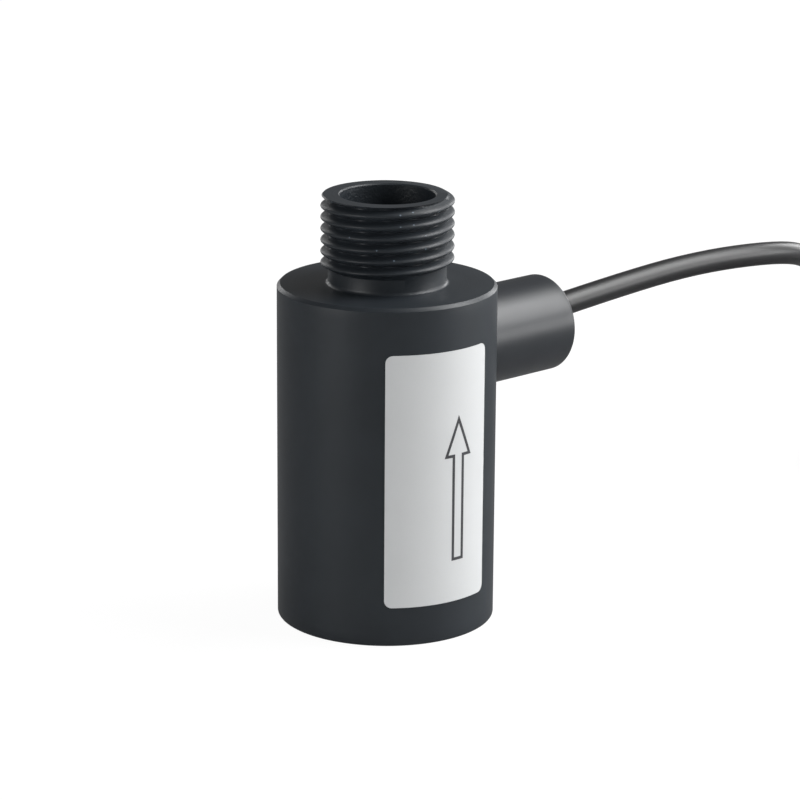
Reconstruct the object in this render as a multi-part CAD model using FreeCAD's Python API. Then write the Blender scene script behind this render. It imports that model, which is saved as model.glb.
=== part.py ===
# An in-line paddle flow switch with G 1/2 pipe ends: water enters at the foot, lifts a
# hinged paddle that carries a magnet, and leaves through the threaded spigot at the top.
# A reed switch potted in the side boss closes when the magnet swings up to it.
# Millimetres. The origin is the centre of the inlet face, +Z runs with the flow, and
# +X points along the side boss, where the cable leaves.

import FreeCAD, Part
import math
import os

V = FreeCAD.Vector
X_AXIS, Y_AXIS, Z_AXIS = V(1, 0, 0), V(0, 1, 0), V(0, 0, 1)
ORIGIN = V(0, 0, 0)

# ---- pipe thread, G 1/2 -------------------------------------------------------------
thread_major_radius = 20.955 / 2
thread_pitch = 25.4 / 14
thread_minor_radius = thread_major_radius - 0.640327 * thread_pitch
thread_flank_angle = 27.5
thread_crest_width = 0.4
thread_crests = 6

# ---- housing ------------------------------------------------------------------------
body_radius = 17.3
body_height = 54.3
body_edge_chamfer = 0.4
spigot_length = 14.1
neck_fillet = 0.6
spigot_lead_in = 0.4
outlet_bore_radius = 7.5
outlet_lead_in = 0.2
inlet_thread_length = 14.0
inlet_lead_in = 1.2
thread_relief = 1.4

# ---- cartridge with the paddle's seat and hinge -------------------------------------
cartridge_slip_in = 0.2
cartridge_gap = 0.1
cartridge_wall = 1.35
cartridge_end_gap = 0.1
cartridge_above_hinge = 12.0
seat_ledge = 1.65
seat_lead_in = 1.2
key_width = 2.0
key_height = 1.4
key_gap = 0.1

# ---- retaining ring -----------------------------------------------------------------
ring_thickness = 1.0
ring_width = 2.1
ring_grip = 0.75
ring_groove_gap = 0.1
ring_opening = 34.0
ring_eye_radius = 0.5
ring_eye_inset = 5.5

# ---- paddle, magnet and hinge -------------------------------------------------------
hinge_inset = 2.87
pin_radius = 0.75
pin_end_gap = 0.1
pin_press_gap = 0.01
pin_running_gap = 0.04
hub_radius = 1.9
hub_length = 6.6
hub_side_gap = 0.25
hub_pocket_gap = 0.5
paddle_thickness = 1.2
paddle_top_above_hinge = 0.4
paddle_edge_gap = 0.75
paddle_rest_gap = 0.15
paddle_edge_chamfer = 0.25
paddle_root_gap = 0.4
rib_thickness = 1.0
rib_height = 1.4
rib_end_height = 0.3
rib_end_inset = 1.2
magnet_radius = 2.0
magnet_height = 3.0
magnet_offset = 3.7
magnet_gap = 0.02
magnet_floor = 1.0
magnet_wall = 0.7
magnet_cap_thickness = 0.8
magnet_cap_chamfer = 0.15

# ---- sensor boss --------------------------------------------------------------------
boss_radius = 7.9
boss_length = 17.0
boss_below_top = 12.2
boss_above_hinge = 7.1
boss_socket_depth = 4.0
boss_fit_gap = 0.02
boss_wall = 2.3
boss_floor = 1.7
boss_rim_chamfer = 0.3
nose_radius = 4.0
nose_wall = 1.0
nose_floor = 0.9
sensing_wall = 1.5
potting_recess = 0.7
potting_gap = 0.02

# ---- reed switch and its wiring -----------------------------------------------------
reed_radius = 1.1
reed_length = 10.0
reed_end_taper = 0.5
reed_offset = 1.0
return_offset = -1.4
lead_radius = 0.3
lead_loop_gap = 0.2
lead_stub = 1.0
sleeve_wall = 0.25
sleeve_gap = 0.02
sleeve_end_gap = 0.3
splice_radius = 0.75
splice_length = 1.7
splice_gap = 0.9
splice_bore_gap = 0.02
core_radius = 0.6
conductor_radius = 0.3
core_spread = 0.75

# ---- label --------------------------------------------------------------------------
label_centre_angle = -102.1
label_width = 18.5
label_height = 40.6
label_foot = 6.4
label_thickness = 0.12
label_corner = 1.2
label_glue = 0.01

# ---- cable --------------------------------------------------------------------------
cable_radius = 2.0
jacket_depth = 3.3
jacket_rise = 1.45
exit_slope = 5.0
exit_run = 19.0
tail_route = [
    V(136.5, -35.7, 2.65), V(127.6, -35.8, 2.55), V(118.7, -35.75, 2.2), V(109.8, -35.5, 2.0),
    V(101.0, -35.1, 2.0),
]
coil_centre = V(135.5, -10.2, 0.0)
coil_turn_radius = 21.5
coil_columns = 3
coil_layers = 2
coil_corner_share = 0.6
tie_angle = -45.0
tie_width = 3.0
tie_thickness = 0.6
tie_gap = 0.1
tie_head_size = 4.2
tie_head_depth = 3.4
tie_end_length = 6.0
stripped_core_length = 24.0
core_fan_out = 2.2
# Each step of a stripped core: its share of the length, its share of the fan-out, and
# the height of its middle in core radii.
core_steps = ((0.3, 0.1, 2.2), (0.65, 0.5, 1.1), (1.0, 1.0, 1.0))
tinned_length = 5.0

# ---- heights and radii that follow from the sizes above -----------------------------
total_height = body_height + spigot_length
thread_top = total_height - spigot_lead_in
thread_foot = thread_top - (thread_crests - 1) * thread_pitch - thread_crest_width
thread_depth = thread_major_radius - thread_minor_radius
flank_height = thread_depth * math.tan(math.radians(thread_flank_angle))
neck_top = thread_foot - flank_height
boss_height = body_height - boss_below_top
hinge_height = boss_height - boss_above_hinge
cartridge_top = hinge_height + cartridge_above_hinge
chamber_top = cartridge_top + cartridge_end_gap

chamber_radius = thread_minor_radius - cartridge_slip_in
cartridge_radius = chamber_radius - cartridge_gap
flow_radius = cartridge_radius - cartridge_wall
seat_radius = flow_radius - seat_ledge
hinge_offset = flow_radius - hinge_inset
ring_outer_radius = chamber_radius + ring_grip
ring_inner_radius = ring_outer_radius - ring_width
groove_radius = ring_outer_radius + ring_groove_gap
groove_foot = inlet_thread_length + thread_relief
cartridge_foot = groove_foot + ring_thickness + ring_groove_gap

paddle_top = hinge_height + paddle_top_above_hinge
paddle_foot = paddle_top - paddle_thickness
seat_height = paddle_foot - paddle_rest_gap
hub_half = hub_length / 2
magnet_x = hinge_offset - magnet_offset
magnet_foot = paddle_foot + magnet_floor
magnet_top = magnet_foot + magnet_height
cup_top = magnet_top + magnet_cap_thickness
cup_radius = magnet_radius + magnet_gap + magnet_wall

nose_hole_end = chamber_radius + sensing_wall
nose_tip = nose_hole_end + boss_fit_gap
nose_bore_end = nose_tip + nose_floor
boss_shoulder = body_radius - boss_socket_depth
boss_bore_end = boss_shoulder + boss_floor
boss_bore_radius = boss_radius - boss_wall
nose_bore_radius = nose_radius - nose_wall
boss_end = body_radius + boss_length
potting_end = boss_end - potting_recess

reed_height = boss_height + reed_offset
return_height = boss_height + return_offset
loop_radius = (reed_offset - return_offset) / 2
loop_x = nose_bore_end + lead_loop_gap + lead_radius + loop_radius
reed_start = loop_x + lead_stub
reed_end = reed_start + reed_length
splice_start = reed_end + splice_gap
splice_middle = splice_start + splice_length / 2
splice_end = splice_start + splice_length
jacket_start = V(boss_end - jacket_depth, 0, boss_height + jacket_rise)
jacket_direction = V(math.cos(math.radians(exit_slope)), 0, math.sin(math.radians(exit_slope)))
lead_route = [
    jacket_start, jacket_start + jacket_direction * exit_run,
    V(71.0, -0.4, 46.4), V(91.0, -1.4, 45.4), V(105.2, 3.6, 41.4), V(118.6, 10.3, 34.6),
    V(131.8, 15.9, 26.4), V(145.4, 14.3, 18.2), V(156.3, 6.0, 11.6), V(161.6, -6.5, 7.6),
    V(160.1, -19.2, 6.6),
]

coil_width = 2 * cable_radius * coil_columns
coil_foot = tie_thickness
coil_top = coil_foot + 2 * cable_radius * coil_layers
coil_inner_radius = coil_turn_radius - coil_width / 2
coil_outer_radius = coil_turn_radius + coil_width / 2


# ---- shape helpers ------------------------------------------------------------------
def upright(radius, foot, top, x=0.0, y=0.0):
    return Part.makeCylinder(radius, top - foot, V(x, y, foot), Z_AXIS)


def along_x(radius, start, end, z):
    return Part.makeCylinder(radius, end - start, V(start, 0, z), X_AXIS)


def across(radius, half_length, x, z):
    return Part.makeCylinder(radius, 2 * half_length, V(x, -half_length, z), Y_AXIS)


def box(x0, x1, y0, y1, z0, z1):
    return Part.makeBox(x1 - x0, y1 - y0, z1 - z0, V(x0, y0, z0))


def turned(profile):
    """A solid of revolution about Z from (radius, height) points."""
    points = [V(r, 0, z) for r, z in profile]
    outline = Part.makePolygon(points + points[:1])
    return Part.Face(outline).revolve(ORIGIN, Z_AXIS, 360)


def rounded_rectangle(width, height, corner):
    """A face in the YZ plane, centred on the origin."""
    y, z = width / 2, height / 2
    diagonal = corner * (1 - math.sqrt(0.5))
    edges = []
    for sy, sz, turn in ((1, 1, 0), (-1, 1, 1), (-1, -1, 0), (1, -1, 1)):
        side = V(0, sy * y, sz * (z - corner))
        end = V(0, sy * (y - corner), sz * z)
        first, last = (side, end) if not turn else (end, side)
        if edges:
            edges.append(Part.LineSegment(edges[-1].Vertexes[-1].Point, first).toShape())
        middle = V(0, sy * (y - diagonal), sz * (z - diagonal))
        edges.append(Part.Arc(first, middle, last).toShape())
    edges.append(Part.LineSegment(edges[-1].Vertexes[-1].Point, edges[0].Vertexes[0].Point).toShape())
    return Part.Face(Part.Wire(edges))


def routed_path(points, name=None):
    """Straight runs joined by tangent arcs, each as large as its two runs allow."""
    edges, radii, start = [], [], points[0]
    for before, corner, after in zip(points, points[1:], points[2:]):
        into, out = corner - before, after - corner
        cut = 0.45 * min(into.Length, out.Length)
        radius = cut / math.tan(into.getAngle(out) / 2)
        radii.append(round(radius, 1))
        into.normalize()
        out.normalize()
        first, last = corner - into * cut, corner + out * cut
        inward = (out - into).normalize()
        middle = corner + inward * (math.hypot(radius, cut) - radius)
        edges.append(Part.LineSegment(start, first).toShape())
        edges.append(Part.Arc(first, middle, last).toShape())
        start = last
    edges.append(Part.LineSegment(start, points[-1]).toShape())
    if name:
        print(name, "arc radii", radii)
    return Part.Wire(edges)


def round_section(radius, centre, direction):
    return Part.Face(Part.Wire(Part.makeCircle(radius, centre, direction)))


def tube(points, radius, name=None):
    path = routed_path(points, name)
    solid = path.makePipe(round_section(radius, points[0], points[1] - points[0]))
    if name:
        share = solid.Volume / (math.pi * radius**2 * path.Length)
        print(name, "length", round(path.Length, 1), "volume by section x length", round(share, 4))
    return solid


# ---- housing: one turned piece with a socket for the sensor boss --------------------
def outlet_thread_profile():
    """The thread as a stack of rings, one for each crest, on the neck's own radius."""
    profile = [(thread_minor_radius, neck_top)]
    for crest in range(thread_crests):
        foot = thread_foot + crest * thread_pitch
        top = foot + thread_crest_width
        if crest:
            profile += [(thread_minor_radius, foot - flank_height)]
        profile += [(thread_major_radius, foot), (thread_major_radius, top)]
        if top < thread_top - flank_height:
            profile += [(thread_minor_radius, top + flank_height)]
    return profile


def make_body():
    body = turned([
        (thread_minor_radius + inlet_lead_in, 0),
        (body_radius - body_edge_chamfer, 0),
        (body_radius, body_edge_chamfer),
        (body_radius, body_height - body_edge_chamfer),
        (body_radius - body_edge_chamfer, body_height),
        (thread_minor_radius + neck_fillet, body_height),
        (thread_minor_radius, body_height + neck_fillet),
        *outlet_thread_profile(),
        (thread_major_radius - spigot_lead_in, total_height),
        (outlet_bore_radius + outlet_lead_in, total_height),
        (outlet_bore_radius, total_height - outlet_lead_in),
        (outlet_bore_radius, chamber_top),
        (chamber_radius, chamber_top),
        (chamber_radius, cartridge_foot),
        (groove_radius, cartridge_foot),
        (groove_radius, groove_foot),
        (chamber_radius, groove_foot),
        (chamber_radius, inlet_thread_length),
        (thread_minor_radius, inlet_thread_length),
        (thread_minor_radius, inlet_lead_in),
    ])
    socket = along_x(boss_radius + boss_fit_gap, boss_shoulder, boss_end, boss_height)
    nose_hole = along_x(nose_radius + boss_fit_gap, nose_hole_end, boss_end, boss_height)
    half_slot = key_width / 2 + key_gap
    slot_top = cartridge_top + key_height + key_gap
    slot = box(0, chamber_radius, -half_slot, half_slot, chamber_top, slot_top)
    slot = slot.common(upright(chamber_radius, chamber_top, slot_top))
    return body.cut(socket).cut(nose_hole).cut(slot)


# ---- retaining ring: sprung steel, in the groove under the cartridge ----------------
def make_retaining_ring():
    foot = groove_foot + ring_groove_gap / 2
    top = foot + ring_thickness
    ring = upright(ring_outer_radius, foot, top).cut(upright(ring_inner_radius, foot, top))
    reach = 2 * ring_outer_radius
    opening = Part.makeCylinder(reach, ring_thickness, V(0, 0, foot), Z_AXIS, ring_opening)
    opening.rotate(ORIGIN, Z_AXIS, 180 - ring_opening / 2)
    ring = ring.cut(opening)
    middle_radius = (ring_outer_radius + ring_inner_radius) / 2
    for side in (-1, 1):
        angle = math.radians(180 + side * (ring_opening / 2 + ring_eye_inset))
        x, y = middle_radius * math.cos(angle), middle_radius * math.sin(angle)
        ring = ring.cut(upright(ring_eye_radius, foot, top, x, y))
    return ring


# ---- cartridge: the seat, the flow tube and the hinge ears in one moulding ----------
def make_cartridge():
    shell = turned([
        (seat_radius + seat_lead_in, cartridge_foot),
        (cartridge_radius, cartridge_foot),
        (cartridge_radius, cartridge_top),
        (flow_radius, cartridge_top),
        (flow_radius, seat_height),
        (seat_radius, seat_height),
        (seat_radius, cartridge_foot + seat_lead_in),
    ])
    ear_start = hub_half + hub_side_gap
    ears = across(hub_radius, flow_radius, hinge_offset, hinge_height)
    ears = ears.common(upright(flow_radius + cartridge_wall / 2, cartridge_foot, cartridge_top))
    between_ears = box(0, flow_radius, -ear_start, ear_start, seat_height, cartridge_top)
    hub_pocket = across(hub_radius + hub_pocket_gap, ear_start, hinge_offset, hinge_height)
    hub_pocket = hub_pocket.common(upright(flow_radius, cartridge_foot, cartridge_top))
    ears = ears.cut(between_ears)
    key = box(0, cartridge_radius, -key_width / 2, key_width / 2,
              cartridge_top - key_height, cartridge_top + key_height)
    key = key.common(upright(cartridge_radius, cartridge_foot, cartridge_top + key_height))
    key = key.cut(upright(flow_radius, cartridge_foot, cartridge_top + key_height))
    pin_hole = across(pin_radius + pin_press_gap, cartridge_radius, hinge_offset, hinge_height)
    return shell.fuse([ears, key]).cut(hub_pocket).cut(pin_hole).removeSplitter()


# ---- paddle: a round flap with a hub, a magnet cup and a stiffening rib -------------
def make_paddle():
    rim = flow_radius - paddle_edge_gap
    flap = turned([
        (0, paddle_foot),
        (rim - paddle_edge_chamfer, paddle_foot),
        (rim, paddle_foot + paddle_edge_chamfer),
        (rim, paddle_top - paddle_edge_chamfer),
        (rim - paddle_edge_chamfer, paddle_top),
        (0, paddle_top),
    ])
    root_x = hinge_offset - hub_radius - paddle_root_gap
    flap = flap.cut(box(root_x, flow_radius, -flow_radius, flow_radius, paddle_foot, paddle_top))
    root = box(0, hinge_offset, -hub_half, hub_half, paddle_foot, paddle_top)
    hub = across(hub_radius, hub_half, hinge_offset, hinge_height)
    cup = upright(cup_radius, paddle_foot, cup_top, magnet_x)
    rib_end = rib_end_inset - rim
    rib_outline = Part.makePolygon([
        V(magnet_x, -rib_thickness / 2, paddle_foot),
        V(rib_end, -rib_thickness / 2, paddle_foot),
        V(rib_end, -rib_thickness / 2, paddle_top + rib_end_height),
        V(magnet_x, -rib_thickness / 2, paddle_top + rib_height),
        V(magnet_x, -rib_thickness / 2, paddle_foot),
    ])
    rib = Part.Face(rib_outline).extrude(V(0, rib_thickness, 0))
    magnet_pocket = upright(magnet_radius + magnet_gap, magnet_foot, cup_top, magnet_x)
    pin_hole = across(pin_radius + pin_running_gap, hub_length, hinge_offset, hinge_height)
    return flap.fuse([root, hub, cup, rib]).cut(magnet_pocket).cut(pin_hole).removeSplitter()


def make_paddle_magnet():
    return upright(magnet_radius, magnet_foot, magnet_top, magnet_x)


def make_magnet_cap():
    cap = turned([
        (0, magnet_top),
        (magnet_radius, magnet_top),
        (magnet_radius, cup_top - magnet_cap_chamfer),
        (magnet_radius - magnet_cap_chamfer, cup_top),
        (0, cup_top),
    ])
    return cap.translate(V(magnet_x, 0, 0))


def make_hinge_pin():
    """The chamber's wall keeps the pin in: its ends stop just inside the cartridge."""
    reach = math.sqrt(cartridge_radius**2 - (hinge_offset + pin_radius) ** 2) - pin_end_gap
    return across(pin_radius, reach, hinge_offset, hinge_height)


# ---- sensor boss: a turned sleeve with a closed nose, pressed into its socket -------
def make_sensor_boss():
    sleeve = along_x(boss_radius, boss_shoulder, boss_end, boss_height)
    rim = [e for e in sleeve.Edges if e.Closed and abs(e.CenterOfMass.x - boss_end) < 1e-6]
    sleeve = sleeve.makeChamfer(boss_rim_chamfer, rim)
    nose = along_x(nose_radius, nose_tip, boss_bore_end, boss_height)
    bore = along_x(boss_bore_radius, boss_bore_end, boss_end, boss_height)
    nose_bore = along_x(nose_bore_radius, nose_bore_end, boss_end, boss_height)
    return sleeve.fuse(nose).cut(bore).cut(nose_bore).removeSplitter()


# ---- reed switch: a glass capsule with one lead folded back along it ----------------
def make_reed_capsule(grow=0.0):
    capsule = along_x(reed_radius + grow, reed_start - grow, reed_end + grow, reed_height)
    ends = [e for e in capsule.Edges if e.Closed]
    return capsule.makeChamfer(reed_end_taper * reed_radius, ends)


def make_front_lead():
    start = V(reed_start, 0, reed_height)
    bend_start = V(loop_x, 0, reed_height)
    bend_middle = V(loop_x - loop_radius, 0, (reed_height + return_height) / 2)
    bend_end = V(loop_x, 0, return_height)
    path = Part.Wire([
        Part.LineSegment(start, bend_start).toShape(),
        Part.Arc(bend_start, bend_middle, bend_end).toShape(),
        Part.LineSegment(bend_end, V(splice_middle, 0, return_height)).toShape(),
    ])
    return path.makePipe(round_section(lead_radius, start, X_AXIS))


def make_rear_lead(grow=0.0):
    return along_x(lead_radius + grow, reed_end, splice_middle, reed_height)


def make_lead_sleeve(grow=0.0):
    start, end = loop_x + sleeve_end_gap, splice_start - sleeve_end_gap
    bore = lead_radius + sleeve_gap
    outside = along_x(bore + sleeve_wall + grow, start - grow, end + grow, return_height)
    return outside if grow else outside.cut(along_x(bore, start, end, return_height))


def make_lead_splices(grow=0.0):
    """Two crimped sleeves, one for each lead, each half on the lead and half on its wire."""
    splices = []
    for height in (reed_height, return_height):
        splice = along_x(splice_radius + grow, splice_start - grow, splice_end + grow, height)
        if not grow:
            bore = max(lead_radius, conductor_radius) + splice_bore_gap
            splice = splice.cut(along_x(bore, splice_start, splice_end, height))
        splices.append(splice)
    return Part.makeCompound(splices)


def make_inner_core(height, side, grow=0.0):
    """From its splice to the end of the cable's jacket, bare in the splice."""
    start = V(splice_end + core_radius, 0, height)
    spread = V(-jacket_direction.z, 0, jacket_direction.x) * (side * core_spread)
    end = jacket_start + spread
    slant = end - start
    insulation = Part.makeCylinder(core_radius + grow, slant.Length + core_radius, start, slant)
    jacket = Part.makeCylinder(cable_radius, jacket_depth, jacket_start, jacket_direction)
    conductor = along_x(conductor_radius + grow, splice_middle, start.x + conductor_radius, height)
    return insulation.cut(jacket).fuse(conductor)


def make_core_brown(grow=0.0):
    return make_inner_core(reed_height, 1, grow)


def make_core_blue(grow=0.0):
    return make_inner_core(return_height, -1, grow)


# ---- potting: resin that fills the boss round the reed, its wiring and the cable ----
def make_potting():
    floor, nose_end = boss_bore_end + potting_gap, nose_bore_end + potting_gap
    resin = along_x(boss_bore_radius - potting_gap, floor, potting_end, boss_height)
    resin = resin.fuse(along_x(nose_bore_radius - potting_gap, nose_end, potting_end, boss_height))
    jacket = Part.makeCylinder(
        cable_radius + potting_gap, 2 * jacket_depth,
        jacket_start - jacket_direction * potting_gap, jacket_direction,
    )
    half_slot = lead_radius + potting_gap
    loop_slot = box(loop_x, reed_start, -half_slot, half_slot,
                    return_height - half_slot, reed_height + half_slot)
    loop_slot = loop_slot.fuse(across(
        loop_radius + half_slot, half_slot, loop_x, (reed_height + return_height) / 2
    ))
    return_lead = along_x(half_slot, loop_x, splice_middle, return_height)
    resin = resin.cut([loop_slot, return_lead, jacket])
    for piece in (
        make_reed_capsule, make_rear_lead, make_lead_sleeve,
        make_lead_splices, make_core_brown, make_core_blue,
    ):
        resin = resin.cut(piece(potting_gap))
    return resin.removeSplitter()


# ---- label: a film sticker wrapped on the housing -----------------------------------
def make_label():
    inner = body_radius + label_glue
    outer = inner + label_thickness
    half_angle = label_width / 2 / body_radius
    top = label_foot + label_height
    film = upright(outer, label_foot, top).cut(upright(inner, label_foot, top))
    outline = rounded_rectangle(2 * outer * math.sin(half_angle), label_height, label_corner)
    outline.translate(V(0, 0, label_foot + label_height / 2))
    film = film.common(outline.extrude(V(2 * outer, 0, 0)))
    film.rotate(ORIGIN, Z_AXIS, label_centre_angle)
    return film


# ---- cable: the free lead, its coil and tie, and the stripped end -------------------
def make_cable_lead():
    return tube(lead_route, cable_radius, "cable_lead")


def make_cable_tail():
    return tube(tail_route, cable_radius, "cable_tail")


def make_cable_coil():
    """The outline of the wound turns, with the corners that round cable leaves empty."""
    corner = coil_corner_share * cable_radius
    ring = turned([
        (coil_inner_radius + corner, coil_foot),
        (coil_outer_radius - corner, coil_foot),
        (coil_outer_radius, coil_foot + corner),
        (coil_outer_radius, coil_top - corner),
        (coil_outer_radius - corner, coil_top),
        (coil_inner_radius + corner, coil_top),
        (coil_inner_radius, coil_top - corner),
        (coil_inner_radius, coil_foot + corner),
    ])
    return ring.translate(coil_centre)


def make_coil_tie():
    """A strap round the turns, with its head outwards and its cut end up."""
    strap_width = coil_width + 2 * (tie_gap + tie_thickness)
    strap_height = coil_top - coil_foot + 2 * tie_thickness + tie_gap
    corner = coil_corner_share * cable_radius
    outside = rounded_rectangle(strap_width, strap_height, corner + tie_thickness)
    both_walls = 2 * tie_thickness
    inside = rounded_rectangle(strap_width - both_walls, strap_height - both_walls, corner)
    strap = outside.cut(inside).extrude(V(tie_width, 0, 0))
    strap.translate(V(-tie_width / 2, 0, strap_height / 2))
    strap.rotate(ORIGIN, Z_AXIS, -90)
    half_head = tie_head_size / 2
    head_start = strap_width / 2 - tie_thickness / 2
    middle = strap_height / 2
    head = box(head_start, head_start + tie_head_depth, -half_head, half_head,
               middle - half_head, middle + half_head)
    end_x = head_start + tie_head_depth / 2
    strap_end = box(end_x, end_x + tie_thickness, -tie_width / 2, tie_width / 2,
                    middle, middle + half_head + tie_end_length)
    tie = strap.fuse([head, strap_end]).removeSplitter()
    tie.translate(V(coil_turn_radius, 0, 0))
    tie.rotate(ORIGIN, Z_AXIS, tie_angle)
    return tie.translate(coil_centre)


def stripped_core_route(side):
    """A core leaves the jacket, sinks to the floor and fans out to its own side."""
    along = (tail_route[-1] - tail_route[-2]).normalize()
    aside = V(-along.y, along.x, 0).normalize() * side
    along = V(along.x, along.y, 0).normalize()
    start = tail_route[-1] + aside * core_spread
    route = [start]
    for share, fan, height in core_steps:
        point = start + along * (stripped_core_length * share) + aside * (core_fan_out * fan)
        route.append(V(point.x, point.y, height * core_radius))
    return route


def make_stripped_core(side):
    return tube(stripped_core_route(side), core_radius)


def make_core_tips():
    tips = []
    for side in (1, -1):
        before, end = stripped_core_route(side)[-2:]
        tips.append(Part.makeCylinder(conductor_radius, tinned_length, end, end - before))
    return Part.makeCompound(tips)


parts = {
    "body": make_body(),
    "retaining_ring": make_retaining_ring(),
    "cartridge": make_cartridge(),
    "paddle": make_paddle(),
    "paddle_magnet": make_paddle_magnet(),
    "magnet_cap": make_magnet_cap(),
    "hinge_pin": make_hinge_pin(),
    "sensor_boss": make_sensor_boss(),
    "potting": make_potting(),
    "reed_capsule": make_reed_capsule(),
    "reed_front_lead": make_front_lead(),
    "reed_rear_lead": make_rear_lead(),
    "lead_sleeve": make_lead_sleeve(),
    "lead_splices": make_lead_splices(),
    "inner_core_brown": make_core_brown(),
    "inner_core_blue": make_core_blue(),
    "label": make_label(),
    "cable_lead": make_cable_lead(),
    "cable_coil": make_cable_coil(),
    "cable_tail": make_cable_tail(),
    "coil_tie": make_coil_tie(),
    "end_core_brown": make_stripped_core(1),
    "end_core_blue": make_stripped_core(-1),
    "core_tips": make_core_tips(),
}

os.makedirs("parts", exist_ok=True)
for name, shape in parts.items():
    shape.exportStep("parts/" + name + ".step")
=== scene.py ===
import math

import bmesh
import bpy
from mathutils import Matrix, Vector


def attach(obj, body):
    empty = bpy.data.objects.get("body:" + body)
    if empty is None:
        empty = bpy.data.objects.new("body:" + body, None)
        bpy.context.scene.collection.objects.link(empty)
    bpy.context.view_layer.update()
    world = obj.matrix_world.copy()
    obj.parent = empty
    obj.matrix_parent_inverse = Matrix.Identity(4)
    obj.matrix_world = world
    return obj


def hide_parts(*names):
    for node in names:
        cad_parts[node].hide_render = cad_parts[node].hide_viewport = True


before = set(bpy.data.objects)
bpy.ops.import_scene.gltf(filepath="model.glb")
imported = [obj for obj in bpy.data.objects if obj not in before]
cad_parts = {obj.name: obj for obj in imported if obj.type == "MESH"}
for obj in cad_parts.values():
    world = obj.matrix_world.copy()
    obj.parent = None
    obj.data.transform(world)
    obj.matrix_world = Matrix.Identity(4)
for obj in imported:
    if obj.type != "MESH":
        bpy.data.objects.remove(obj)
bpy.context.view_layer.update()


# ---- Housing ------------------------------------------------------------------------
# The housing is one piece of black plastic, turned on a lathe from bar: a plain barrel,
# a neck, and a G 1/2 thread cut on the outlet spigot and in the inlet. Turning leaves
# fine rings on its faces, and the threading tool leaves rounded crests with small burrs.
MM = 0.001  # Sizes are written in millimetres, and the scene is in metres.
housing_radius = 17.3
housing_height = 54.3
foot_rounding = 0.4
top_chamfer, chamfer_rounding = 0.55, 0.08
shoulder_ring = 13.0
spigot_top = 68.4
neck_foot, neck_top = 56.8, 57.4
neck_fillet = 0.6
thread_major = 20.955 / 2
thread_pitch = 25.4 / 14
thread_depth = 0.640327 * thread_pitch
thread_minor = thread_major - thread_depth
thread_start = 0.18
crest_breadth = 0.65
spigot_lead_in = 0.4
inlet_thread_top = 14.0
inlet_lead_in = 1.2
cartridge_slip_in = 0.2
chamber_radius = thread_minor - cartridge_slip_in
chamber_top = 47.1
groove_foot, groove_top = 15.4, 16.5
groove_depth = 0.85
outlet_radius = 7.5
outlet_lead_in = 0.2
boss_height = 42.1
socket_radius = 7.92
socket_foot = 13.3
socket_cutter_end = housing_radius + 4
nose_hole_radius = 4.02
sensing_wall = 1.5
nose_hole_start = chamber_radius + sensing_wall
housing_segments, socket_segments = 192, 128


def arc(centre, radius, start, end, steps):
    """Points of (radius, height) along an arc, with its angles in degrees."""
    points = []
    for i in range(steps + 1):
        angle = math.radians(start + (end - start) * i / steps)
        points.append(
            (centre[0] + radius * math.cos(angle), centre[1] + radius * math.sin(angle)))
    return points


def rows(start, end, step, radius):
    """A plain wall of that radius, cut into rings of about that height."""
    count = max(1, round(abs(end - start) / step))
    return [(radius, start + (end - start) * i / count) for i in range(count + 1)]


def broken_edge(radius, height, size, rounding):
    """Points over a small 45 degree chamfer, from a wall up to a top face."""
    return (arc((radius - rounding, height - size), rounding, 0, 45, 3)
            + arc((radius - size, height - rounding), rounding, 45, 90, 3))


def upright(across, aside, along):
    """A turned piece that stands on the housing's own axis."""
    return (across, aside, along)


def turned(name, outline, segments, place=upright):
    """A closed turned mesh from its outline of (radius, height), in millimetres."""
    shape = bmesh.new()
    rings = []
    for radius, along in outline:
        if radius < 1e-6:
            rings.append([shape.verts.new(Vector(place(0, 0, along)) * MM)])
            continue
        turn = [2 * math.pi * i / segments for i in range(segments)]
        rings.append([
            shape.verts.new(Vector(place(radius * math.cos(a), radius * math.sin(a), along)) * MM)
            for a in turn
        ])
    open_at_poles = len(rings[0]) == 1 and len(rings[-1]) == 1
    followers = rings[1:] if open_at_poles else rings[1:] + rings[:1]
    for lower, upper in zip(rings, followers):
        for i in range(segments):
            j = (i + 1) % segments
            corners = [lower[i % len(lower)], lower[j % len(lower)],
                       upper[j % len(upper)], upper[i % len(upper)]]
            shape.faces.new(list(dict.fromkeys(corners)))
    bmesh.ops.recalc_face_normals(shape, faces=shape.faces)
    mesh = bpy.data.meshes.new(name)
    shape.to_mesh(mesh)
    shape.free()
    return mesh


def smooth(mesh, crease=32.0):
    """Smooth shading, with each edge that turns more than the crease left sharp."""
    shape = bmesh.new()
    shape.from_mesh(mesh)
    for face in shape.faces:
        face.smooth = True
    for edge in shape.edges:
        edge.smooth = len(edge.link_faces) == 2 and edge.calc_face_angle() < math.radians(crease)
    shape.to_mesh(mesh)
    shape.free()


def in_scene(name, mesh, material=None):
    piece = bpy.data.objects.new(name, mesh)
    bpy.context.scene.collection.objects.link(piece)
    if material:
        mesh.materials.append(material)
    return piece


def made_plain(piece, name):
    """The piece with its modifiers worked into a plain mesh, and no modifier left."""
    bpy.context.view_layer.update()
    graph = bpy.context.evaluated_depsgraph_get()
    mesh = bpy.data.meshes.new_from_object(piece.evaluated_get(graph), depsgraph=graph)
    piece.modifiers.clear()
    piece.data = mesh
    mesh.name = name
    return piece


def feed(tree, target, value):
    """Sets a socket to a plain value, or links another socket to it."""
    if isinstance(value, bpy.types.NodeSocket):
        tree.links.new(value, target)
    else:
        target.default_value = value


def feed_by_name(tree, node, **values):
    """Feeds a node's sockets, with underscores in their names where they have spaces."""
    for socket, value in values.items():
        feed(tree, node.inputs[socket.replace("_", " ").strip()], value)


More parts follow.
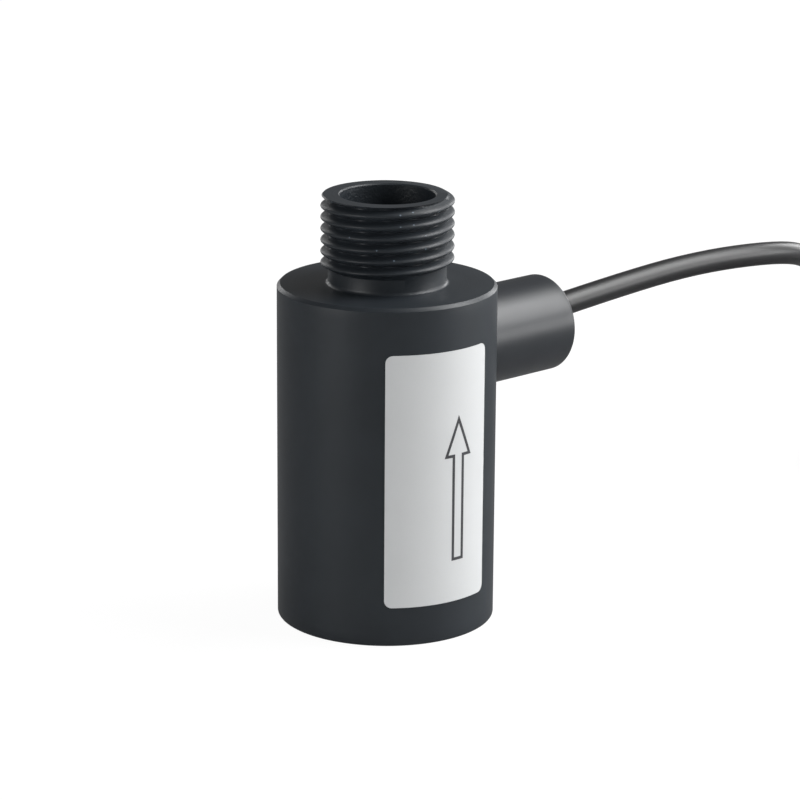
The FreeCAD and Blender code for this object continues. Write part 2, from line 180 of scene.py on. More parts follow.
def placed(tree, kind, settings=None, **values):
    """A node of that kind, with its settings, and its sockets fed by name."""
    node = tree.nodes.new(kind)
    for setting, value in (settings or {}).items():
        setattr(node, setting, value)
    feed_by_name(tree, node, **values)
    return node


def math_node(tree, operation, *values, clamp=False):
    node = tree.nodes.new("ShaderNodeMath")
    node.operation = operation
    node.use_clamp = clamp
    for target, value in zip(node.inputs, values):
        feed(tree, target, value)
    return node.outputs[0]


def from_axis(tree, x, y):
    """How far a place is from the upright axis."""
    return math_node(tree, "SQRT", math_node(
        tree, "ADD", math_node(tree, "MULTIPLY", x, x), math_node(tree, "MULTIPLY", y, y)))


def between(tree, value, low, high):
    """1 where the value lies between two limits, and 0 elsewhere."""
    return math_node(tree, "MULTIPLY", math_node(tree, "GREATER_THAN", value, low),
                     math_node(tree, "LESS_THAN", value, high))


cut_margin = 0.1 * MM


def thread_tree():
    """Cuts a right-hand screw thread into whatever wall of the mesh stands in its band."""
    tree = bpy.data.node_groups.new("screw_thread", "GeometryNodeTree")
    socket = tree.interface.new_socket
    socket("Geometry", in_out="INPUT", socket_type="NodeSocketGeometry")
    for name in ("Pitch", "Root Radius", "Crest Radius", "Start Height", "End Height"):
        socket(name, in_out="INPUT", socket_type="NodeSocketFloat")
    socket("Cut Outwards", in_out="INPUT", socket_type="NodeSocketBool")
    socket("Material", in_out="INPUT", socket_type="NodeSocketMaterial")
    socket("Geometry", in_out="OUTPUT", socket_type="NodeSocketGeometry")
    given = tree.nodes.new("NodeGroupInput").outputs
    position = tree.nodes.new("GeometryNodeInputPosition").outputs[0]
    apart = placed(tree, "ShaderNodeSeparateXYZ", Vector=position).outputs
    x, y, z = apart["X"], apart["Y"], apart["Z"]
    radius = from_axis(tree, x, y)
    turn = math_node(tree, "DIVIDE", math_node(tree, "ARCTAN2", y, x), 2 * math.pi)
    climb = math_node(tree, "DIVIDE", z, given["Pitch"])
    phase = math_node(tree, "MULTIPLY_ADD", math_node(tree, "SUBTRACT", climb, turn),
                      2 * math.pi, 2 * math.pi * thread_start)
    wave = math_node(tree, "MULTIPLY_ADD", math_node(tree, "COSINE", phase), -0.5, 0.5)
    wave = math_node(tree, "POWER", wave, crest_breadth)
    depth = math_node(tree, "SUBTRACT", given["Crest Radius"], given["Root Radius"])
    cut = math_node(tree, "MULTIPLY_ADD", wave, depth, given["Root Radius"])
    left = math_node(tree, "SUBTRACT", given["End Height"], z)
    run_out = math_node(tree, "DIVIDE", left, given["Pitch"], clamp=True)
    outside = math_node(tree, "MINIMUM", radius, cut)
    growth = math_node(tree, "SUBTRACT", math_node(tree, "MAXIMUM", radius, cut), radius)
    inside = math_node(tree, "MULTIPLY_ADD", growth, run_out, radius)
    choice = placed(tree, "GeometryNodeSwitch", {"input_type": "FLOAT"},
                    Switch=given["Cut Outwards"], False_=outside, True_=inside)
    share = math_node(tree, "DIVIDE", choice.outputs[0], radius)
    moved = placed(tree, "ShaderNodeCombineXYZ", X=math_node(tree, "MULTIPLY", x, share),
                   Y=math_node(tree, "MULTIPLY", y, share), Z=z).outputs[0]
    band = between(tree, z, given["Start Height"], given["End Height"])
    wall = between(tree, radius,
                   math_node(tree, "SUBTRACT", given["Root Radius"], cut_margin),
                   math_node(tree, "ADD", given["Crest Radius"], cut_margin))
    shifted = placed(tree, "GeometryNodeSetPosition", Geometry=given["Geometry"],
                     Selection=math_node(tree, "MULTIPLY", band, wall), Position=moved)
    real = placed(tree, "GeometryNodeRealizeInstances", Geometry=shifted.outputs[0])
    dressed = placed(tree, "GeometryNodeSetMaterial", Geometry=real.outputs[0],
                     Material=given["Material"])
    placed(tree, "NodeGroupOutput", Geometry=dressed.outputs[0])
    return tree


def cut_thread(piece, tree, **sizes):
    modifier = piece.modifiers.new("thread", "NODES")
    modifier.node_group = tree
    for item in tree.interface.items_tree:
        if item.item_type == "SOCKET" and item.in_out == "INPUT":
            key = item.name.lower().replace(" ", "_")
            if key in sizes:
                modifier[item.identifier] = sizes[key]


def noise(tree, place, scale, detail=2.0, **values):
    return placed(tree, "ShaderNodeTexNoise", Vector=place, Scale=scale, Detail=detail,
                  **values).outputs[0]


def skin_group():
    """Moulded or machined plastic seen close: a fine grain over slow, faint mottling."""
    tree = bpy.data.node_groups.new("plastic_skin", "ShaderNodeTree")
    socket = tree.interface.new_socket
    socket("Vector", in_out="INPUT", socket_type="NodeSocketVector")
    for name in ("Grain Scale", "Mottle Scale", "Mottle"):
        socket(name, in_out="INPUT", socket_type="NodeSocketFloat")
    for name in ("Height", "Tone"):
        socket(name, in_out="OUTPUT", socket_type="NodeSocketFloat")
    given = tree.nodes.new("NodeGroupInput").outputs
    grain = noise(tree, given["Vector"], given["Grain Scale"], detail=3.0, Roughness=0.6)
    slow = noise(tree, given["Vector"], given["Mottle Scale"])
    swing = math_node(tree, "SUBTRACT", slow, 0.5)
    tone = math_node(tree, "MULTIPLY_ADD", swing, given["Mottle"], 1.0)
    placed(tree, "NodeGroupOutput", Height=grain, Tone=tone)
    return tree


def turning_group():
    """Fine rings that a lathe tool leaves, on walls and end faces alike."""
    tree = bpy.data.node_groups.new("turning_rings", "ShaderNodeTree")
    socket = tree.interface.new_socket
    socket("Vector", in_out="INPUT", socket_type="NodeSocketVector")
    for name in ("Ring Pitch", "Unevenness"):
        socket(name, in_out="INPUT", socket_type="NodeSocketFloat")
    socket("Height", in_out="OUTPUT", socket_type="NodeSocketFloat")
    given = tree.nodes.new("NodeGroupInput").outputs
    apart = placed(tree, "ShaderNodeSeparateXYZ", Vector=given["Vector"]).outputs
    path = math_node(tree, "ADD", from_axis(tree, apart["X"], apart["Y"]), apart["Z"])
    along = placed(tree, "ShaderNodeCombineXYZ", X=math_node(
        tree, "DIVIDE", path, given["Ring Pitch"])).outputs[0]
    rings = noise(tree, along, scale=1.0)
    drift = noise(tree, given["Vector"], scale=160.0)
    height = math_node(tree, "MULTIPLY_ADD", drift, given["Unevenness"], rings)
    placed(tree, "NodeGroupOutput", Height=height)
    return tree


def new_material(name):
    """An empty node material with its surface shader, and the object's own coordinates."""
    material = bpy.data.materials.new(name)
    material.use_nodes = True
    tree = material.node_tree
    return material, tree, tree.nodes["Principled BSDF"], placed(
        tree, "ShaderNodeTexCoord").outputs["Object"]


def group_in(tree, group, **values):
    return placed(tree, "ShaderNodeGroup", {"node_tree": group}, **values).outputs


def varied(tree, pattern, middle, swing):
    """A value that a pattern from 0 to 1 moves, half of the swing down and half up."""
    return math_node(tree, "MULTIPLY_ADD", pattern, swing, middle - swing / 2)


def toned(tree, colour, tone):
    """The colour made lighter and darker by a tone round 1."""
    node = placed(tree, "ShaderNodeMix", {"data_type": "RGBA", "blend_type": "MULTIPLY"},
                  Factor=1.0)
    grey = placed(tree, "ShaderNodeCombineColor", Red=tone, Green=tone, Blue=tone).outputs[0]
    first, second = [socket for socket in node.inputs if socket.type == "RGBA"]
    feed(tree, first, (*colour, 1.0))
    feed(tree, second, grey)
    return [socket for socket in node.outputs if socket.type == "RGBA"][0]


def bumped(tree, height, strength, distance, **values):
    """A normal shaped by that height, with its distance in millimetres."""
    return placed(tree, "ShaderNodeBump", Strength=strength, Distance=distance * MM,
                  Height=height, **values).outputs[0]


plastic_skin = skin_group()
turning_rings = turning_group()

# Small burrs stand on the thread's crests as pale specks, and the bore is torn by chatter.
housing_black = (0.0172, 0.0216, 0.0266)
speck_scale, speck_size, speck_share = 1500.0, 0.22, 0.1
burr_brightness, burr_depth = 7.0, 0.45
thread_roughness = 0.03
spigot_middle = outlet_radius + 1
bore_face = outlet_radius + 0.05

housing_plastic, tree, shader, place = new_material("housing_plastic")
skin = group_in(tree, plastic_skin, Vector=place, Grain_Scale=5200.0, Mottle_Scale=120.0,
                Mottle=0.35)
marks = group_in(tree, turning_rings, Vector=place, Ring_Pitch=0.22 * MM, Unevenness=0.4)
apart = placed(tree, "ShaderNodeSeparateXYZ", Vector=place).outputs
distance = from_axis(tree, apart["X"], apart["Y"])
above_neck = math_node(tree, "GREATER_THAN", apart["Z"], neck_top * MM)
on_thread = math_node(tree, "MULTIPLY", above_neck, math_node(
    tree, "GREATER_THAN", distance, spigot_middle * MM))
in_bore = math_node(tree, "MULTIPLY", above_neck, math_node(
    tree, "LESS_THAN", distance, bore_face * MM))
specks = placed(tree, "ShaderNodeTexVoronoi", Vector=place, Scale=speck_scale).outputs
chosen = math_node(tree, "GREATER_THAN", placed(
    tree, "ShaderNodeSeparateColor", Color=specks["Color"]).outputs["Red"], 1 - speck_share)
near_crest = math_node(tree, "GREATER_THAN", distance, (thread_major - burr_depth) * MM)
burrs = math_node(tree, "LESS_THAN", specks["Distance"], speck_size)
for mask in (chosen, near_crest, on_thread):
    burrs = math_node(tree, "MULTIPLY", burrs, mask)
tone = math_node(tree, "MULTIPLY_ADD", burrs, burr_brightness, skin["Tone"])
roughness = varied(tree, marks["Height"], middle=0.40, swing=0.10)
roughness = math_node(tree, "MULTIPLY_ADD", on_thread, thread_roughness, roughness)
chatter = noise(tree, place, scale=1100.0, detail=3.0, Distortion=1.5)
torn = math_node(tree, "MULTIPLY", chatter, in_bore)
grained = bumped(tree, skin["Height"], strength=0.10, distance=0.03)
ringed = bumped(tree, marks["Height"], strength=0.16, distance=0.04, Normal=grained)
feed_by_name(
    tree, shader, Base_Color=toned(tree, housing_black, tone), Roughness=roughness,
    Specular_IOR_Level=0.38,
    Normal=bumped(tree, torn, strength=0.5, distance=0.2, Normal=ringed),
)

rows_per_turn = 14
thread_row = thread_pitch / rows_per_turn
wall_row = 1.6
housing_outline = (
    [(thread_minor + inlet_lead_in, 0.0)]
    + arc((housing_radius - foot_rounding, foot_rounding), foot_rounding, -90, 0, 4)
    + rows(foot_rounding, housing_height - top_chamfer, wall_row, housing_radius)[1:-1]
    + broken_edge(housing_radius, housing_height, top_chamfer, chamfer_rounding)
    + [(shoulder_ring, housing_height)]
    + arc((thread_minor + neck_fillet, housing_height + neck_fillet), neck_fillet, 270, 180, 5)
    + [(thread_minor, neck_foot)]
    + rows(neck_top, spigot_top - spigot_lead_in, thread_row, thread_major)
    + [(thread_major - spigot_lead_in / 2, spigot_top - spigot_lead_in / 2)]
    + [(thread_major - spigot_lead_in, spigot_top)]
    + [(outlet_radius + outlet_lead_in, spigot_top)]
    + rows(spigot_top - outlet_lead_in, chamber_top, wall_row, outlet_radius)
    + rows(chamber_top, groove_top, wall_row, chamber_radius)
    + [(chamber_radius + groove_depth, groove_top), (chamber_radius + groove_depth, groove_foot)]
    + [(chamber_radius, groove_foot), (chamber_radius, inlet_thread_top)]
    + rows(inlet_thread_top, inlet_lead_in, thread_row, thread_minor)
    + [(thread_minor + inlet_lead_in / 2, inlet_lead_in / 2)]
)
housing = in_scene(
    "housing_barrel", turned("housing_barrel", housing_outline, housing_segments),
    housing_plastic,
)
screw_thread = thread_tree()
both_threads = {
    "pitch": thread_pitch * MM, "root_radius": thread_minor * MM,
    "crest_radius": thread_major * MM, "material": housing_plastic,
}
relief_edge = 0.05 * MM
cut_thread(housing, screw_thread, **both_threads, cut_outwards=False,
           start_height=neck_foot * MM + cut_margin, end_height=spigot_top * MM + cut_margin)
cut_thread(housing, screw_thread, **both_threads, cut_outwards=True,
           start_height=-cut_margin, end_height=inlet_thread_top * MM - relief_edge)


def along_boss(across, aside, along):
    """A turned piece that lies on the boss's axis."""
    return (along, across, boss_height + aside)


socket = in_scene("socket_cutter", turned("socket_cutter", [
    (0, nose_hole_start), (nose_hole_radius, nose_hole_start), (nose_hole_radius, socket_foot),
    (socket_radius, socket_foot), (socket_radius, socket_cutter_end), (0, socket_cutter_end),
], socket_segments, along_boss))
opened = housing.modifiers.new("socket", "BOOLEAN")
opened.object = socket
opened.operation = "DIFFERENCE"
opened.solver = "EXACT"
made_plain(housing, "housing_barrel")
bpy.data.objects.remove(socket)
smooth(housing.data)
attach(housing, "housing")
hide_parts("body")


# ---- Flow parts inside --------------------------------------------------------------
# The cartridge slides in from the inlet behind a sprung steel ring. It is moulded in
# white acetal with the paddle's seat and hinge ears in one. The paddle is grey moulded
# plastic on a stainless pin, and carries a nickel-plated magnet under a glued disc.
def moulded(name, colour, roughness, grain=4200.0, bump=0.12, specular=0.5):
    material, tree, shader, place = new_material(name)
    skin = group_in(tree, plastic_skin, Vector=place, Grain_Scale=grain, Mottle_Scale=180.0,
                    Mottle=0.18)
    feed_by_name(
        tree, shader, Base_Color=toned(tree, colour, skin["Tone"]),
        Roughness=varied(tree, skin["Height"], middle=roughness, swing=0.16),
        Specular_IOR_Level=specular,
        Normal=bumped(tree, skin["Height"], strength=bump, distance=0.04),
    )
    return material


def bright_metal(name, colour, roughness, line_scale):
    """Drawn or ground metal, with hairlines along one way and a slow change of tone."""
    material, tree, shader, place = new_material(name)
    stretch = placed(tree, "ShaderNodeMapping", Vector=place, Scale=(1.0, 0.06, 1.0)).outputs[0]
    lines = noise(tree, stretch, line_scale, detail=4.0)
    feed_by_name(
        tree, shader, Metallic=1.0,
        Base_Color=toned(tree, colour, varied(tree, lines, middle=1.0, swing=0.3)),
        Roughness=varied(tree, lines, middle=roughness, swing=0.2),
        Normal=bumped(tree, lines, strength=0.15, distance=0.02),
    )
    return material


def finish(names, material):
    for name in names:
        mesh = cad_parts[name].data
        mesh.materials.clear()
        mesh.materials.append(material)


finish(["cartridge"], moulded("natural_moulding", (0.72, 0.71, 0.66), roughness=0.42))
finish(["paddle"], moulded("paddle_moulding", (0.115, 0.125, 0.135), roughness=0.48))
finish(["magnet_cap"], moulded("cap_moulding", (0.16, 0.17, 0.18), roughness=0.4))
finish(["paddle_magnet"], bright_metal(
    "magnet_metal", (0.62, 0.60, 0.56), roughness=0.3, line_scale=2600.0))
finish(["hinge_pin"], bright_metal(
    "stainless", (0.60, 0.60, 0.61), roughness=0.24, line_scale=5200.0))
finish(["retaining_ring"], bright_metal(
    "spring_steel", (0.33, 0.33, 0.35), roughness=0.34, line_scale=3800.0))


# ---- Sensor boss --------------------------------------------------------------------
# The boss is a second turned sleeve of the same black plastic, a little glossier. Its
# closed nose reaches to the chamber's wall, and it is glued into the housing's socket.
boss_black = (0.0195, 0.0222, 0.0262)
boss_radius = 7.9
boss_end = 34.3
boss_round = 0.5
boss_bore_radius = 5.6
boss_bore_end = 15.0
boss_mouth = 0.25
boss_fit_gap = 0.02
nose_radius = 4.0
nose_chamfer = 0.3
nose_tip = nose_hole_start + boss_fit_gap
nose_bore_radius = 3.0
nose_floor = 0.9
foot_row = 0.4
boss_segments = 144

boss_plastic, tree, shader, place = new_material("boss_plastic")
skin = group_in(tree, plastic_skin, Vector=place, Grain_Scale=4600.0, Mottle_Scale=150.0,
                Mottle=0.3)
squeezed = placed(tree, "ShaderNodeMapping", Vector=place, Scale=(4200.0, 24.0, 24.0)).outputs[0]
rings = noise(tree, squeezed, scale=1.0)
grained = bumped(tree, skin["Height"], strength=0.10, distance=0.03)
feed_by_name(
    tree, shader, Base_Color=toned(tree, boss_black, skin["Tone"]),
    Roughness=varied(tree, rings, middle=0.36, swing=0.10), Specular_IOR_Level=0.42,
    Normal=bumped(tree, rings, strength=0.12, distance=0.03, Normal=grained),
)

boss_outline = (
    [(0, nose_tip), (nose_radius - nose_chamfer, nose_tip)]
    + [(nose_radius, nose_tip + nose_chamfer)]
    + [(nose_radius, socket_foot), (boss_radius, socket_foot)]
    + rows(socket_foot + foot_row, boss_end - boss_round, wall_row, boss_radius)[:-1]
    + arc((boss_radius - boss_round, boss_end - boss_round), boss_round, 0, 90, 6)
    + [(boss_bore_radius + boss_mouth, boss_end), (boss_bore_radius, boss_end - boss_mouth)]
    + [(boss_bore_radius, boss_bore_end), (nose_bore_radius, boss_bore_end)]
    + [(nose_bore_radius, nose_tip + nose_floor), (0, nose_tip + nose_floor)]
)
boss = in_scene(
    "boss_sleeve", turned("boss_sleeve", boss_outline, boss_segments, along_boss), boss_plastic)
smooth(boss.data)
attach(boss, "housing")
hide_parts("sensor_boss")


# ---- Reed switch and wiring in the boss ---------------------------------------------
# A glass reed capsule lies along the boss with one lead folded back in a sleeve. Both
# leads are crimped to the cable's cores, and black epoxy fills the boss round them.
reed_glass, tree, shader, place = new_material("reed_glass")
tint = varied(tree, noise(tree, place, scale=700.0), middle=1.0, swing=0.2)
feed_by_name(tree, shader, Base_Color=toned(tree, (0.62, 0.80, 0.66), tint),
             Transmission_Weight=0.85, Roughness=0.06)
finish(["reed_capsule"], reed_glass)
finish(["reed_front_lead", "reed_rear_lead", "lead_splices", "core_tips"],
       bright_metal("tinned_wire", (0.66, 0.65, 0.62), roughness=0.32, line_scale=6000.0))
finish(["lead_sleeve"], moulded("sleeve_plastic", (0.72, 0.62, 0.30), roughness=0.45))
core_brown = moulded("core_brown", (0.105, 0.040, 0.018), roughness=0.38, bump=0.08)
core_blue = moulded("core_blue", (0.020, 0.085, 0.30), roughness=0.38, bump=0.08)
finish(["inner_core_brown", "end_core_brown"], core_brown)
finish(["inner_core_blue", "end_core_blue"], core_blue)
potting_resin = moulded(
    "potting_resin", (0.014, 0.014, 0.015), roughness=0.2, grain=900.0, bump=0.25)
finish(["potting"], potting_resin)

# The resin's skin is drawn up a little where it wets the boss's wall and the cable.
cable_radius = 2.0
exit_slope = math.radians(5.0)
jacket_depth, jacket_rise = 3.3, 1.45
jacket_start = Vector((boss_end - jacket_depth, 0, boss_height + jacket_rise))
jacket_direction = Vector((math.cos(exit_slope), 0, math.sin(exit_slope)))
resin_level = 33.6
jacket_height = jacket_start.z + (resin_level - jacket_start.x) * math.tan(exit_slope)
skin_start, skin_end = cable_radius + 0.01, boss_bore_radius - boss_fit_gap
skin_lift, skin_depth = 0.03, 0.2
climb_height = 0.35
climb_at_cable, climb_at_wall = 1 / 4, 1 / 5
meniscus_rings, meniscus_segments = 14, 96


def resin_skin():
    """A closed ring of resin from the cable to the wall, each circle a little off the last."""
    shape = bmesh.new()
    rings = []
    for i in range(meniscus_rings + 1):
        share = i / meniscus_rings
        climb = climb_height * (max(0, 1 - share / climb_at_cable) ** 2
                                + max(0, 1 - (1 - share) / climb_at_wall) ** 2)
        radius = skin_start + share * (skin_end - skin_start)
        height = jacket_height + share * (boss_height - jacket_height)
        rings.append((radius, height, resin_level + skin_lift + climb))
    rings += [(radius, height, resin_level - skin_depth)
              for radius, height, _ in (rings[-1], rings[0])]
    loops = []
    for radius, height, x in rings:
        turn = [2 * math.pi * j / meniscus_segments for j in range(meniscus_segments)]
        loops.append([shape.verts.new(Vector(
            (x, radius * math.cos(a), height + radius * math.sin(a))) * MM) for a in turn])
    for lower, upper in zip(loops, loops[1:] + loops[:1]):
        for j in range(meniscus_segments):
            k = (j + 1) % meniscus_segments
            shape.faces.new((lower[j], lower[k], upper[k], upper[j]))
    bmesh.ops.recalc_face_normals(shape, faces=shape.faces)
    mesh = bpy.data.meshes.new("resin_skin")
    shape.to_mesh(mesh)
    shape.free()
    return mesh


skin_piece = in_scene("resin_skin", resin_skin(), potting_resin)
smooth(skin_piece.data, 50.0)
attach(skin_piece, "housing")


# ---- Label --------------------------------------------------------------------------
# A silver-white film sticker, printed with a flow arrow and wrapped round the housing.
# Its die-cut corners are rounded, and the print is a thin layer of black ink.
label_angle = math.radians(-102.1)
label_foot = 6.4
label_width, label_height = 18.5, 40.6
label_corner = 1.2
label_glue, label_thickness = 0.01, 0.12
label_outside = housing_radius + label_glue + label_thickness
label_silver = (0.50, 0.51, 0.515)
ink_thickness = 0.012
arrow_centre = 3.0
arrow_foot, arrow_neck, arrow_tip = 13.1, 29.9, 36.6
arrow_shaft_width, arrow_head_width = 2.3, 5.3
arrow_line = 0.48
stroke_step = 0.4


def on_housing(along, height, radius):
    """A place on the housing's wall, from its distance round it and its height."""
    angle = label_angle + along / housing_radius
    return Vector((radius * math.cos(angle), radius * math.sin(angle), height)) * MM


def wrapped_film():
    shape = bmesh.new()
    corner_steps, columns = 6, 24
    levels = []
    for i in range(corner_steps + 1):
        angle = math.pi / 2 * i / corner_steps
        levels.append(
            (label_corner * (1 - math.cos(angle)), label_corner * (1 - math.sin(angle))))
    lower = [(label_foot + up, label_width / 2 - inset) for up, inset in levels]
    upper = [(2 * label_foot + label_height - height, half) for height, half in reversed(lower)]
    grid = []
    for height, half in lower + upper:
        grid.append([
            shape.verts.new(on_housing(half * (2 * j / columns - 1), height, label_outside))
            for j in range(columns + 1)
        ])
    for row, following in zip(grid, grid[1:]):
        for j in range(columns):
            shape.faces.new((row[j], row[j + 1], following[j + 1], following[j]))
    mesh = bpy.data.meshes.new("label_film")
    shape.to_mesh(mesh)
    shape.free()
    return mesh


def given_thickness(piece, thickness, name):
    solid = piece.modifiers.new("thickness", "SOLIDIFY")
    solid.thickness = thickness * MM
    solid.offset = -1
    return made_plain(piece, name)


label_film, tree, shader, place = new_material("label_film")
flecks = noise(tree, place, scale=5200.0, detail=3.0)
clouds = varied(tree, noise(tree, place, scale=90.0), middle=0.025, swing=0.05)
tone = math_node(tree, "ADD", varied(tree, flecks, middle=0.975, swing=0.05), clouds)
feed_by_name(
    tree, shader, Base_Color=toned(tree, label_silver, tone),
    Roughness=varied(tree, flecks, middle=0.455, swing=0.15),
    Normal=bumped(tree, flecks, strength=0.06, distance=0.03),
)

label = in_scene("label_sheet", wrapped_film(), label_film)
given_thickness(label, label_thickness, "label_sheet")
smooth(label.data)
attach(label, "housing")
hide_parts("label")


def offset_inwards(corners, distance):
    """The same closed outline with each side moved in by that distance."""
    moved = []
    last_first, first_last = corners[-1:] + corners[:-1], corners[1:] + corners[:1]
    for before, corner, after in zip(last_first, corners, first_last):
        into = (corner - before).normalized()
        out = (after - corner).normalized()
        sideways = Vector((-into.y, into.x)) + Vector((-out.y, out.x))
        moved.append(corner + sideways * (distance / (1 + into.dot(out))))
    return moved


def printed_outline(corners, line, radius):
    """Line work on the housing's wall: a closed outline drawn with a pen of that width."""
    shape = bmesh.new()
    inner = offset_inwards(corners, line)
    for i in range(len(corners)):
        j = (i + 1) % len(corners)
        steps = max(1, math.ceil((corners[j] - corners[i]).length / stroke_step))
        strip = []
        for k in range(steps + 1):
            share = k / steps
            strip.append([
                shape.verts.new(on_housing(*side[i].lerp(side[j], share), radius))
                for side in (corners, inner)
            ])
        for (a, b), (c, d) in zip(strip, strip[1:]):
            shape.faces.new((a, c, d, b))
    bmesh.ops.remove_doubles(shape, verts=shape.verts, dist=1e-7)
    mesh = bpy.data.meshes.new("flow_arrow")
    shape.to_mesh(mesh)
    shape.free()
    return mesh


half_shaft, half_head = arrow_shaft_width / 2, arrow_head_width / 2
arrow_corners = [Vector((arrow_centre + along, height)) for along, height in (
    (-half_shaft, arrow_foot), (half_shaft, arrow_foot), (half_shaft, arrow_neck),
    (half_head, arrow_neck), (0, arrow_tip), (-half_head, arrow_neck), (-half_shaft, arrow_neck),
)]
label_ink, tree, shader, place = new_material("label_ink")
wear = varied(tree, noise(tree, place, scale=3200.0, detail=4.0), middle=1.2, swing=1.4)
feed_by_name(tree, shader, Base_Color=toned(tree, (0.03, 0.03, 0.034), wear), Roughness=0.5)
ink_radius = label_outside + ink_thickness
arrow = in_scene("flow_arrow", printed_outline(arrow_corners, arrow_line, ink_radius), label_ink)
given_thickness(arrow, ink_thickness, "flow_arrow")
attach(arrow, "housing")


# ---- Cable --------------------------------------------------------------------------
# A round two-core cable with a smooth black jacket, held by the resin. It bends over and
# lands on its own put-away coil, which is wound in three columns and two layers.
# The jacket's end lies on the floor beside the coil, with both cores stripped.
exit_run = 19.0
first_bend = jacket_start + jacket_direction * exit_run
lead_points = [
    tuple(jacket_start), tuple(first_bend), (71.0, -0.4, 46.4), (91.0, -1.4, 45.4),
    (105.2, 3.6, 41.4), (118.6, 10.3, 34.6), (131.8, 15.9, 26.4), (145.4, 14.3, 18.2),
    (156.3, 6.0, 11.6), (161.6, -6.5, 7.6), (160.1, -19.2, 6.6),
]
tail_points = [
    (136.5, -35.7, 2.65), (127.6, -35.8, 2.55), (118.7, -35.75, 2.2), (109.8, -35.5, 2.0),
    (101.0, -35.1, 2.0),
]
cable_diameter = 2 * cable_radius
coil_x, coil_y = 135.5, -10.2
coil_radius = 21.5
outer_turn = coil_radius + cable_diameter
tie_thickness = 0.6
floor_layer = tie_thickness + cable_radius
inward_crossings, outward_crossings = (1, 2), (11 / 3, 14 / 3)
layer_crossing = 17 / 6
crossing_length = 1 / 6
points_per_turn = 24
first_point, last_point = 8, 132


def passed(turn, end):
    """How much of a crossing between columns or layers is behind, by the turn it ends at."""
    return min(1.0, max(0.0, 1 + (turn - end) / crossing_length))


def coil_points():
    """Turns inwards on top, down beside the hole, and outwards on the floor."""
    points = []
    # The line runs this much inside the points that steer it.
    pull_in = 0.75 + 0.25 * math.cos(2 * math.pi / points_per_turn)
    for i in range(first_point, last_point):
        turn = i / points_per_turn
        column = (sum(passed(turn, end) for end in inward_crossings)
                  - sum(passed(turn, end) for end in outward_crossings))
        radius = (outer_turn - cable_diameter * column) / pull_in
        height = floor_layer + cable_diameter * (1 - passed(turn, layer_crossing))
        angle = math.pi / 2 - 2 * math.pi * turn
        points.append(
            (coil_x + radius * math.cos(angle), coil_y + radius * math.sin(angle), height))
    return points


cable_jacket = moulded("cable_jacket", (0.0125, 0.0125, 0.0135), roughness=0.4,
                       grain=2600.0, bump=0.1, specular=0.45)
route = lead_points + coil_points() + tail_points
cable_line = bpy.data.curves.new("cable", "CURVE")
cable_line.dimensions = "3D"
spline = cable_line.splines.new("NURBS")
spline.points.add(len(route) - 1)
for point, spot in zip(spline.points, route):
    point.co = (*(Vector(spot) * MM), 1.0)
spline.order_u = 3
spline.use_endpoint_u = True
spline.resolution_u = 6
cable_line.bevel_depth = cable_radius * MM
cable_line.bevel_resolution = 7
cable_line.use_fill_caps = True
cable_line.materials.append(cable_jacket)
cable = bpy.data.objects.new("cable", cable_line)
bpy.context.scene.collection.objects.link(cable)
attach(cable, "housing")
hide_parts("cable_lead", "cable_coil", "cable_tail")
finish(["coil_tie"], moulded("tie_nylon", (0.70, 0.69, 0.65), roughness=0.45, grain=1800.0))


# ---- Floor, light and camera --------------------------------------------------------
# A white studio table in a dim room. Two softboxes stand on the right under a third one
# overhead, a weaker one faces the left front, and two narrow ones behind draw the rims.
table = bpy.data.meshes.new("table")
table_half, below_part = 2.0, -0.02 * MM
table_brightness, table_in_reflections = 1.04, 0.24
glow_share = 0.92
room_strength = 0.18
table.from_pydata(
    [(x, y, below_part) for x, y in ((-table_half, -table_half), (table_half, -table_half),
                                     (table_half, table_half), (-table_half, table_half))],
    [], [(0, 1, 2, 3)],
)
table_white, tree, shader, place = new_material("table_white")
feed_by_name(tree, shader, Base_Color=(0.93, 0.93, 0.93, 1), Roughness=0.9,
             Specular_IOR_Level=0.1)
paths = tree.nodes.new("ShaderNodeLightPath").outputs
glow = placed(tree, "ShaderNodeEmission", Strength=math_node(
    tree, "MULTIPLY_ADD", paths["Is Glossy Ray"], table_in_reflections - table_brightness,
    table_brightness))
seen = math_node(tree, "MAXIMUM", paths["Is Camera Ray"], math_node(
    tree, "MAXIMUM", paths["Is Glossy Ray"], paths["Is Transmission Ray"]))
blend = tree.nodes.new("ShaderNodeMixShader")
tree.links.new(math_node(tree, "MULTIPLY", seen, glow_share), blend.inputs[0])
tree.links.new(shader.outputs[0], blend.inputs[1])
tree.links.new(glow.outputs[0], blend.inputs[2])
tree.links.new(blend.outputs[0], tree.nodes["Material Output"].inputs["Surface"])
in_scene("table", table, table_white)

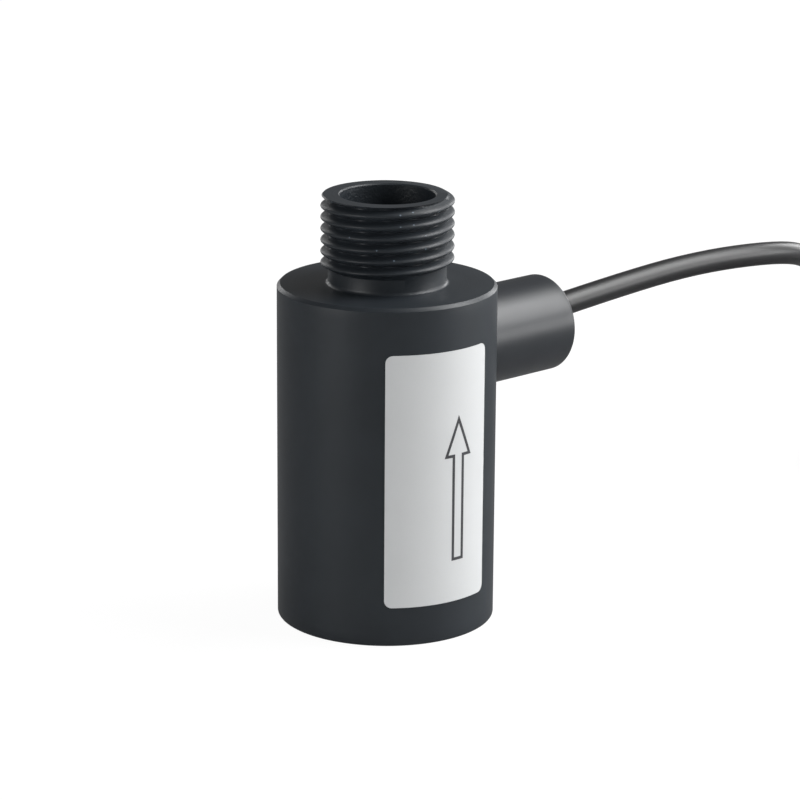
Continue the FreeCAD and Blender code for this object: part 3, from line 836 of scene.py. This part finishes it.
world = bpy.data.worlds.new("room")
bpy.context.scene.world = world
world.use_nodes = True
tree = world.node_tree
room = tree.nodes["Background"]
feed_by_name(tree, room, Color=(1, 1, 1, 1), Strength=room_strength)
white = placed(tree, "ShaderNodeBackground", Strength=1.0)
paths = tree.nodes.new("ShaderNodeLightPath").outputs
seen = math_node(tree, "MAXIMUM", paths["Is Camera Ray"], paths["Is Transmission Ray"])
blend = tree.nodes.new("ShaderNodeMixShader")
tree.links.new(seen, blend.inputs[0])
tree.links.new(room.outputs[0], blend.inputs[1])
tree.links.new(white.outputs[0], blend.inputs[2])
tree.links.new(blend.outputs[0], tree.nodes["World Output"].inputs["Surface"])

boss_azimuth = math.radians(42.3)
facing = Matrix.Rotation(-boss_azimuth, 4, "Z")


def softbox(name, place, width, height, power):
    """An area lamp that faces the part, placed right of it, behind it and up in metres."""
    lamp = bpy.data.lights.new(name, "AREA")
    lamp.shape = "RECTANGLE"
    lamp.size, lamp.size_y = width, height
    lamp.energy = power
    stand = bpy.data.objects.new(name, lamp)
    bpy.context.scene.collection.objects.link(stand)
    spot, target = facing @ Vector(place), facing @ Vector((0.0, 0.0, 0.04))
    stand.matrix_world = (Matrix.Translation(spot)
                          @ (spot - target).to_track_quat("Z", "Y").to_matrix().to_4x4())


softbox("right_softbox", (0.60, 0.0, 0.48), width=0.50, height=0.40, power=5.2)
softbox("right_low", (0.60, 0.04, 0.10), width=0.50, height=0.16, power=1.5)
softbox("left_softbox", (-0.57, -0.42, 0.17), width=0.32, height=0.3, power=1.7)
softbox("top_softbox", (0.42, 0.17, 0.68), width=0.36, height=0.45, power=3.2)
softbox("left_rim", (-0.35, 0.6, 0.2), width=0.12, height=0.35, power=0.6)
softbox("right_rim", (0.42, 0.6, 0.2), width=0.14, height=0.35, power=1.4)

camera_elevation = math.radians(16.03)
camera_roll = math.radians(0.40)
camera_place = facing @ Vector((0.00213, -0.49624, 0.17767))
looks = facing.to_3x3() @ Vector((0, math.cos(camera_elevation), -math.sin(camera_elevation)))
rightwards = facing.to_3x3() @ Vector((1, 0, 0))
upwards = rightwards.cross(looks)
rolled_right = rightwards * math.cos(camera_roll) + upwards * math.sin(camera_roll)
rolled_up = upwards * math.cos(camera_roll) - rightwards * math.sin(camera_roll)
lens = bpy.data.cameras.new("camera")
lens.lens = 146.96
lens.sensor_width = 36.0
camera = bpy.data.objects.new("camera", lens)
bpy.context.scene.collection.objects.link(camera)
pose = Matrix((rolled_right, rolled_up, -looks)).transposed().to_4x4()
pose.translation = camera_place
camera.matrix_world = pose
bpy.context.scene.camera = camera

bpy.context.scene.view_settings.view_transform = "Standard"
